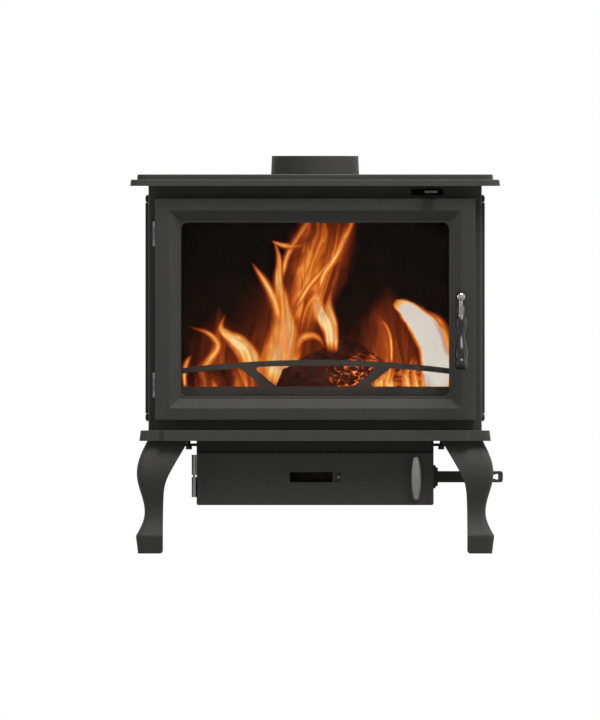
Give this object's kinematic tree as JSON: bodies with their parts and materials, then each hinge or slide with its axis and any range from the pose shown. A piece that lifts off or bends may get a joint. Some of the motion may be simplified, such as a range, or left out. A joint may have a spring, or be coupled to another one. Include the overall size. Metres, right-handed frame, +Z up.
{
  "type": "slow combustion stove",
  "caption": "Free-standing wood stove on cabriole legs, with a glazed hinged door, lever latch, air slide, riddling grate, and an ash box with its own hinged door below.",
  "frame": {"origin": "on the floor under the middle of the stove's overall box", "axes": "+X to the stove's right seen from the front, +Y to the rear, +Z up"},
  "size_m": [0.6852, 0.5077, 0.7312],
  "materials": {
    "cast_charcoal": "matt charcoal stove paint on a fine cast grain",
    "raw_cast": "bare heat-stained casting",
    "charcoal_sheet": "matt charcoal stove paint",
    "steel": "bare steel, slightly dulled",
    "satin_nickel": "satin nickel",
    "chrome": "polished",
    "black_grip": "gloss black, turned",
    "stove_glass": "clear heat-proof pane",
    "seal_rope": "grey knitted fibre",
    "firebrick": "pale board, sooted near the fire",
    "black_steel": "blackened steel"
  },
  "bodies": {
    "stove": {"top_plate": "cast_charcoal", "flue_collar": "cast_charcoal", "flue_collar_bolts": "black_steel", "base_plate": "cast_charcoal", "leg_front_left": "cast_charcoal", "leg_front_right": "cast_charcoal", "leg_rear_left": "cast_charcoal", "leg_rear_right": "cast_charcoal", "tie_rods": "black_steel", "front_plate": "charcoal_sheet", "side_wall_left": "charcoal_sheet", "side_wall_right": "charcoal_sheet", "back_wall": "charcoal_sheet", "side_shield_left": "charcoal_sheet", "side_shield_right": "charcoal_sheet", "rear_shield": "charcoal_sheet", "shield_fixings": "black_steel", "side_bricks": "firebrick", "rear_bricks": "firebrick", "floor_bricks": "firebrick", "baffle": "firebrick", "log_fence": "raw_cast", "fence_clips": "charcoal_sheet", "airwash_manifold": "charcoal_sheet", "hinge_brackets": "steel", "hinge_pins": "steel", "latch_keeper": "charcoal_sheet", "bar_guide": "charcoal_sheet", "ash_box": "charcoal_sheet", "ash_box_bolts": "black_steel", "ash_pan_runners": "charcoal_sheet", "ash_hinge_lower": "steel"},
    "door": {"door_frame": "cast_charcoal", "door_glass": "stove_glass", "glass_tape": "seal_rope", "glass_clips": "steel", "glass_clip_screws": "steel", "door_rope": "seal_rope", "door_hinge_knuckles": "steel"},
    "door_lever": {"lever_stem": "chrome", "lever_grip": "black_grip", "lever_spindle": "steel", "latch_tongue": "steel", "spindle_nut": "steel"},
    "air_slide": {"air_slide": "black_steel"},
    "ash_door": {"ash_door_panel": "charcoal_sheet", "ash_door_seal": "seal_rope", "ash_hinge_upper": "steel", "shutter_rails": "charcoal_sheet"},
    "ash_latch": {"ash_knob": "satin_nickel", "ash_knob_spindle": "steel", "ash_latch_tongue": "steel", "ash_spindle_nut": "steel"},
    "air_shutter": {"air_shutter": "charcoal_sheet", "shutter_button": "black_steel"},
    "riddle": {"riddling_grate": "raw_cast", "riddling_arm": "black_steel", "riddling_arm_bolts": "black_steel", "riddling_bar": "charcoal_sheet"},
    "ash_pan": {"ash_pan": "charcoal_sheet"}
  },
  "joints": [
    {"name": "door_hinge", "type": "hinge", "parent": "stove", "child": "door", "pos_m": [-0.2945, -0.1685, 0.44875], "axis": [0, 0, -1], "range_deg": [0, 115]},
    {"name": "door_lever_turn", "type": "hinge", "parent": "door", "child": "door_lever", "pos_m": [0.2678, -0.165, 0.4718], "axis": [0, 1, 0], "range_deg": [0, 60]},
    {"name": "air_slide_travel", "type": "slide", "parent": "stove", "child": "air_slide", "axis": [1, 0, 0], "range_m": [-0.022, 0.0095]},
    {"name": "ash_door_hinge", "type": "hinge", "parent": "stove", "child": "ash_door", "pos_m": [-0.2224, -0.14922, 0.1426], "axis": [0, 0, -1], "range_deg": [0, 100]},
    {"name": "ash_latch_turn", "type": "hinge", "parent": "ash_door", "child": "ash_latch", "pos_m": [0.1854, -0.152, 0.1388], "axis": [0, 1, 0], "range_deg": [0, 90]},
    {"name": "air_shutter_travel", "type": "slide", "parent": "ash_door", "child": "air_shutter", "axis": [-1, 0, 0], "range_m": [0, 0.0825]},
    {"name": "riddle_travel", "type": "slide", "parent": "stove", "child": "riddle", "axis": [1, 0, 0], "range_m": [0, 0.03]},
    {"name": "ash_pan_travel", "type": "slide", "parent": "stove", "child": "ash_pan", "axis": [0, -1, 0], "range_m": [0, 0.1]}
  ],
  "couplings": [
    {"joint": "ash_pan_travel", "follows": "ash_door_hinge", "m_per_rad": 0.0572}
  ]
}
